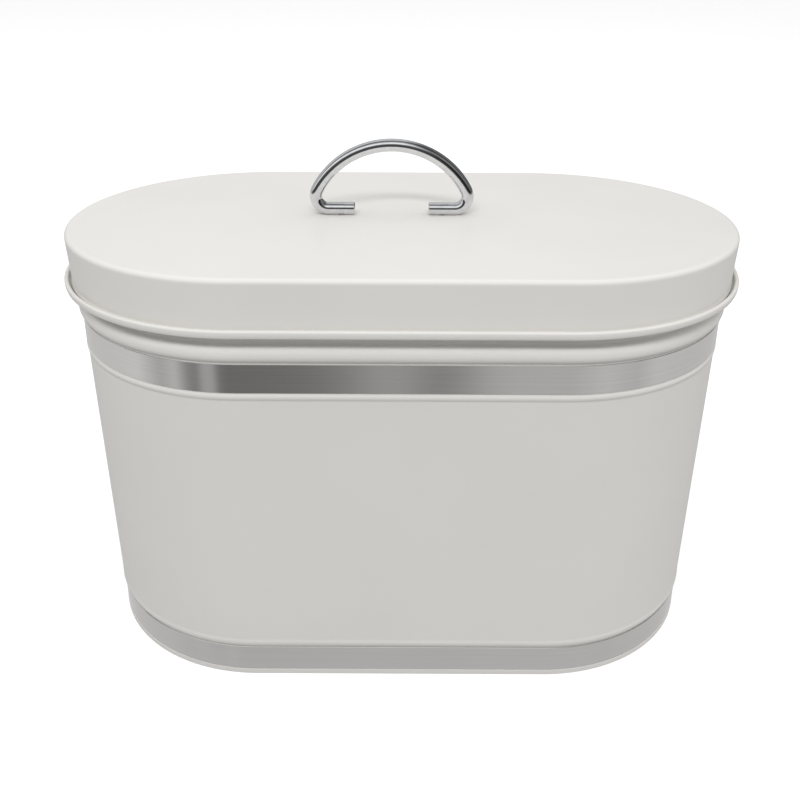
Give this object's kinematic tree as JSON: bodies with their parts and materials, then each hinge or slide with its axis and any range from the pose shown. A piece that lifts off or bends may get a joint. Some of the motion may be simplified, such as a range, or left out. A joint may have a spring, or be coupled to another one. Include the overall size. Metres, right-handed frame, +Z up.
{
  "type": "bread bin",
  "caption": "Oval steel bread bin with tapered white wall, flared rim, steel bands and a flat lift-off lid that has a chromed wire handle.",
  "frame": {"origin": "centre of the ring that the bin stands on, at the level of the table", "axes": "+X along the bin's long side, to the right seen from the front; +Y towards the back, where the seams are; +Z up"},
  "size_m": [0.3452, 0.1952, 0.2623],
  "materials": {
    "white_enamel": "satin powder coat",
    "steel_band": "fine brushed, half bright",
    "chrome_wire": "bright chrome plate",
    "zinc_fastener": "bright zinc plate"
  },
  "bodies": {
    "bin": {"body_wall": "white_enamel", "base_pan": "white_enamel", "lower_band": "steel_band", "upper_band": "steel_band"},
    "lid": {"lid_shell": "white_enamel", "handle": "chrome_wire", "handle_screw_left": "zinc_fastener", "handle_washer_left": "zinc_fastener", "handle_screw_right": "zinc_fastener", "handle_washer_right": "zinc_fastener"}
  },
  "joints": [
    {"name": "lid_lift", "type": "slide", "parent": "bin", "child": "lid", "axis": [0, 0, 1], "range_m": [0, 0.12]}
  ]
}
